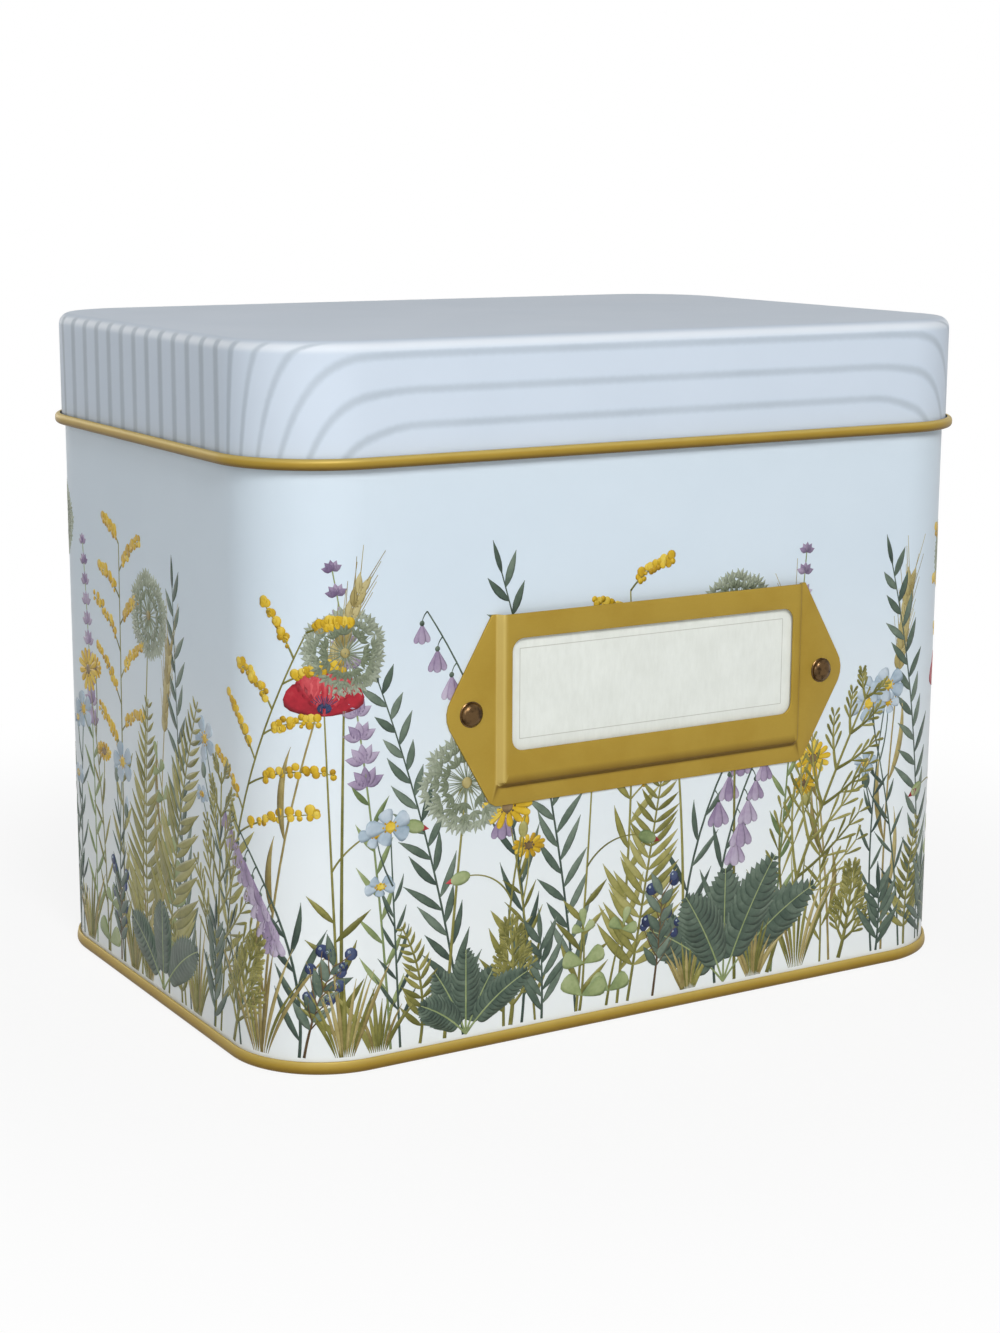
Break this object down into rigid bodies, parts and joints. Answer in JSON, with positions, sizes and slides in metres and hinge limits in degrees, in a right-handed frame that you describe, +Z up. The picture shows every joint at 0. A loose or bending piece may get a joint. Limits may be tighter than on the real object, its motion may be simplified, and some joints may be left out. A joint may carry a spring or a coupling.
{
  "type": "recipe card box",
  "caption": "Round-cornered tin box with a lift-off lid and a riveted label holder on its front, holding tabbed dividers and recipe cards.",
  "frame": {"origin": "middle of the footprint, at the underside of the base seam that the box stands on", "axes": "+Z up, +X to the right along the front, +Y to the back; the label holder faces -Y"},
  "size_m": [0.1742, 0.1224, 0.1415],
  "materials": {
    "body_enamel": "pale blue-grey printed enamel with a botanical print outside, plain tinplate inside, satin",
    "lid_enamel": "pale blue-grey printed enamel with soft pinstripes, gold lacquered hem, satin",
    "gold_lacquer": "antique gold lacquer on tinplate, satin",
    "rivet_bronze": "antiqued, satin",
    "label_paper": "uncoated matte card stock",
    "divider_board": "uncoated matte card stock in soft tints",
    "recipe_card": "uncoated matte card stock with faint ruled lines"
  },
  "bodies": {
    "tin": {"body_shell": "body_enamel", "base_panel": "gold_lacquer", "label_holder": "gold_lacquer", "rivet_left": "rivet_bronze", "rivet_right": "rivet_bronze"},
    "lid": {"lid_shell": "lid_enamel"},
    "label": {"label_card": "label_paper"},
    "section_1": {"divider_1": "divider_board", "recipe_cards_1": "recipe_card"},
    "section_2": {"divider_2": "divider_board", "recipe_cards_2": "recipe_card"},
    "section_3": {"divider_3": "divider_board", "recipe_cards_3": "recipe_card"},
    "section_4": {"divider_4": "divider_board", "recipe_cards_4": "recipe_card"},
    "section_5": {"divider_5": "divider_board", "recipe_cards_5": "recipe_card"},
    "section_6": {"divider_6": "divider_board", "recipe_cards_6": "recipe_card"},
    "section_7": {"divider_7": "divider_board", "recipe_cards_7": "recipe_card"},
    "section_8": {"divider_8": "divider_board", "recipe_cards_8": "recipe_card"}
  },
  "joints": [
    {"name": "lid_lift", "type": "slide", "parent": "tin", "child": "lid", "axis": [0, 0, 1], "range_m": [0, 0.12]},
    {"name": "label_slide", "type": "slide", "parent": "tin", "child": "label", "axis": [0, 0, 1], "range_m": [0, 0.03]},
    {"name": "section_1_flip", "type": "hinge", "parent": "tin", "child": "section_1", "pos_m": [0, 0.00637, 0.00393], "axis": [1, 0, 0], "range_deg": [0, 38]},
    {"name": "section_2_flip", "type": "hinge", "parent": "tin", "child": "section_2", "pos_m": [0, 0.01093, 0.00393], "axis": [1, 0, 0], "range_deg": [0, 34.2]},
    {"name": "section_3_flip", "type": "hinge", "parent": "tin", "child": "section_3", "pos_m": [0, 0.01548, 0.00393], "axis": [1, 0, 0], "range_deg": [0, 30.4]},
    {"name": "section_4_flip", "type": "hinge", "parent": "tin", "child": "section_4", "pos_m": [0, 0.02003, 0.00393], "axis": [1, 0, 0], "range_deg": [0, 26.6]},
    {"name": "section_5_flip", "type": "hinge", "parent": "tin", "child": "section_5", "pos_m": [0, 0.02459, 0.00393], "axis": [1, 0, 0], "range_deg": [0, 22.8]},
    {"name": "section_6_flip", "type": "hinge", "parent": "tin", "child": "section_6", "pos_m": [0, 0.02914, 0.00393], "axis": [1, 0, 0], "range_deg": [0, 19]},
    {"name": "section_7_flip", "type": "hinge", "parent": "tin", "child": "section_7", "pos_m": [0, 0.03369, 0.00393], "axis": [1, 0, 0], "range_deg": [0, 15.2]},
    {"name": "section_8_flip", "type": "hinge", "parent": "tin", "child": "section_8", "pos_m": [0, 0.03825, 0.00393], "axis": [1, 0, 0], "range_deg": [0, 11.4]}
  ],
  "couplings": [
    {"joint": "section_2_flip", "follows": "section_1_flip", "ratio": 0.9},
    {"joint": "section_3_flip", "follows": "section_1_flip", "ratio": 0.8},
    {"joint": "section_4_flip", "follows": "section_1_flip", "ratio": 0.7},
    {"joint": "section_5_flip", "follows": "section_1_flip", "ratio": 0.6},
    {"joint": "section_6_flip", "follows": "section_1_flip", "ratio": 0.5},
    {"joint": "section_7_flip", "follows": "section_1_flip", "ratio": 0.4},
    {"joint": "section_8_flip", "follows": "section_1_flip", "ratio": 0.3}
  ]
}
